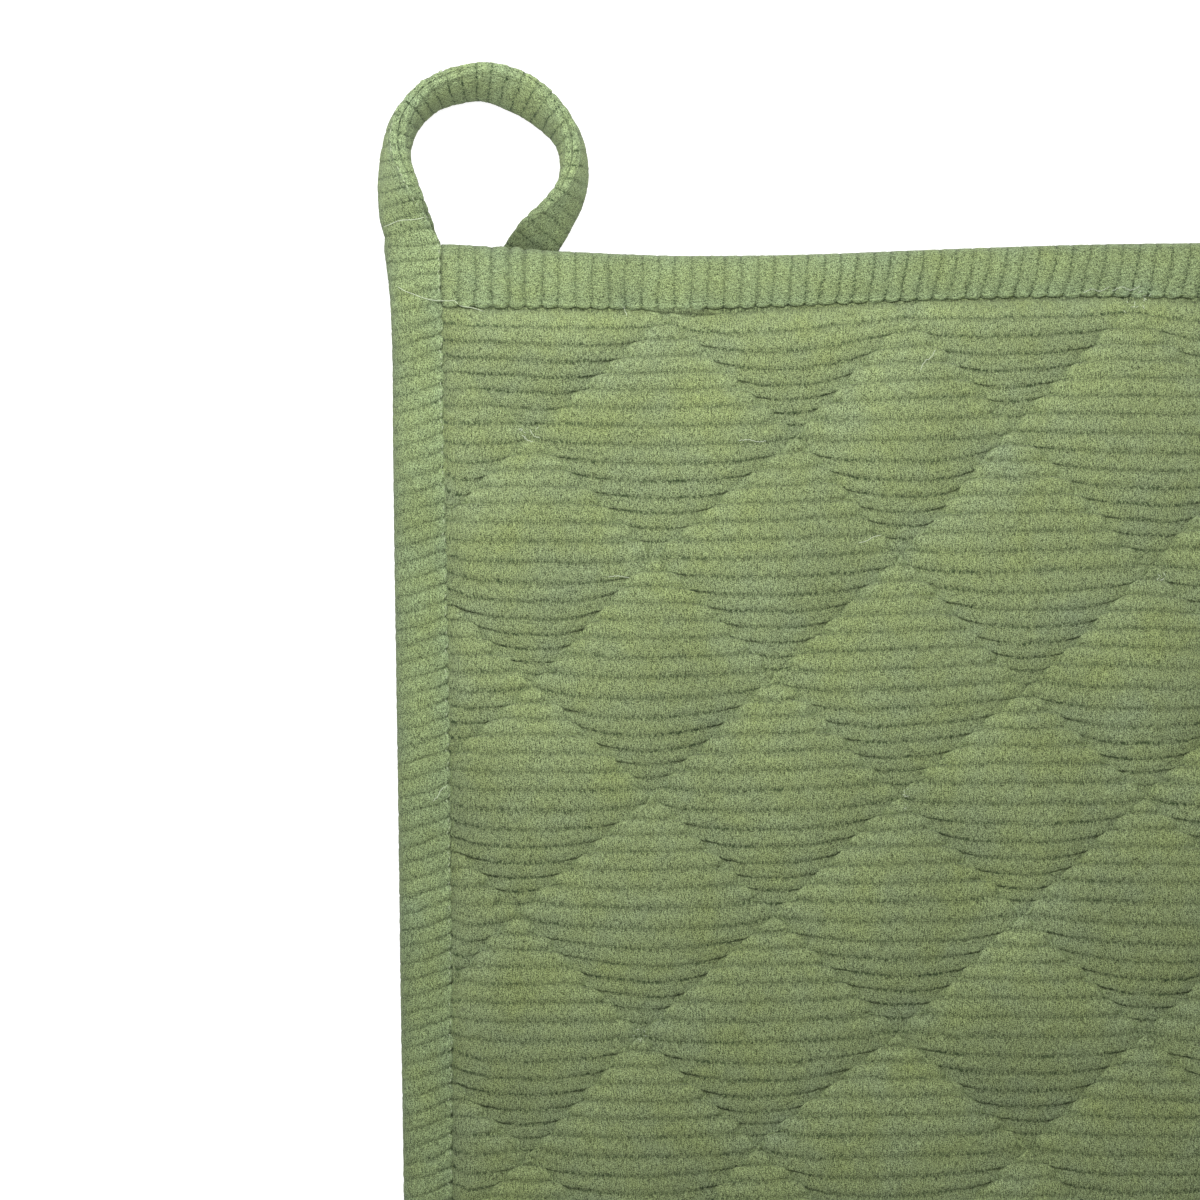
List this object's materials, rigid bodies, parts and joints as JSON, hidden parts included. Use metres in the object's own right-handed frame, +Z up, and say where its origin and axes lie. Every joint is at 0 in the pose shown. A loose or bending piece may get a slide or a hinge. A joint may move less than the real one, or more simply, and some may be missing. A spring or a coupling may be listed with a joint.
{
  "type": "pot holder",
  "caption": "Square quilted corduroy pot holder with folded binding strips and a hanging loop at one corner.",
  "frame": {"origin": "on the surface the pad lies on, under the middle of the whole object's box, loop included", "axes": "+Z up out of the quilted face, +Y towards the end with the hanging loop, +X to the right of the face"},
  "size_m": [0.2226, 0.256, 0.0115],
  "materials": {
    "pad_corduroy": "sage green wide-wale cotton corduroy, matt with a soft nap",
    "binding_corduroy": "sage green wide-wale cotton corduroy tape, folded and sewn"
  },
  "bodies": {
    "root": {"quilted_pad": "pad_corduroy", "binding_left_loop": "binding_corduroy", "binding_top": "binding_corduroy", "binding_right": "binding_corduroy", "binding_bottom": "binding_corduroy"}
  },
  "joints": []
}
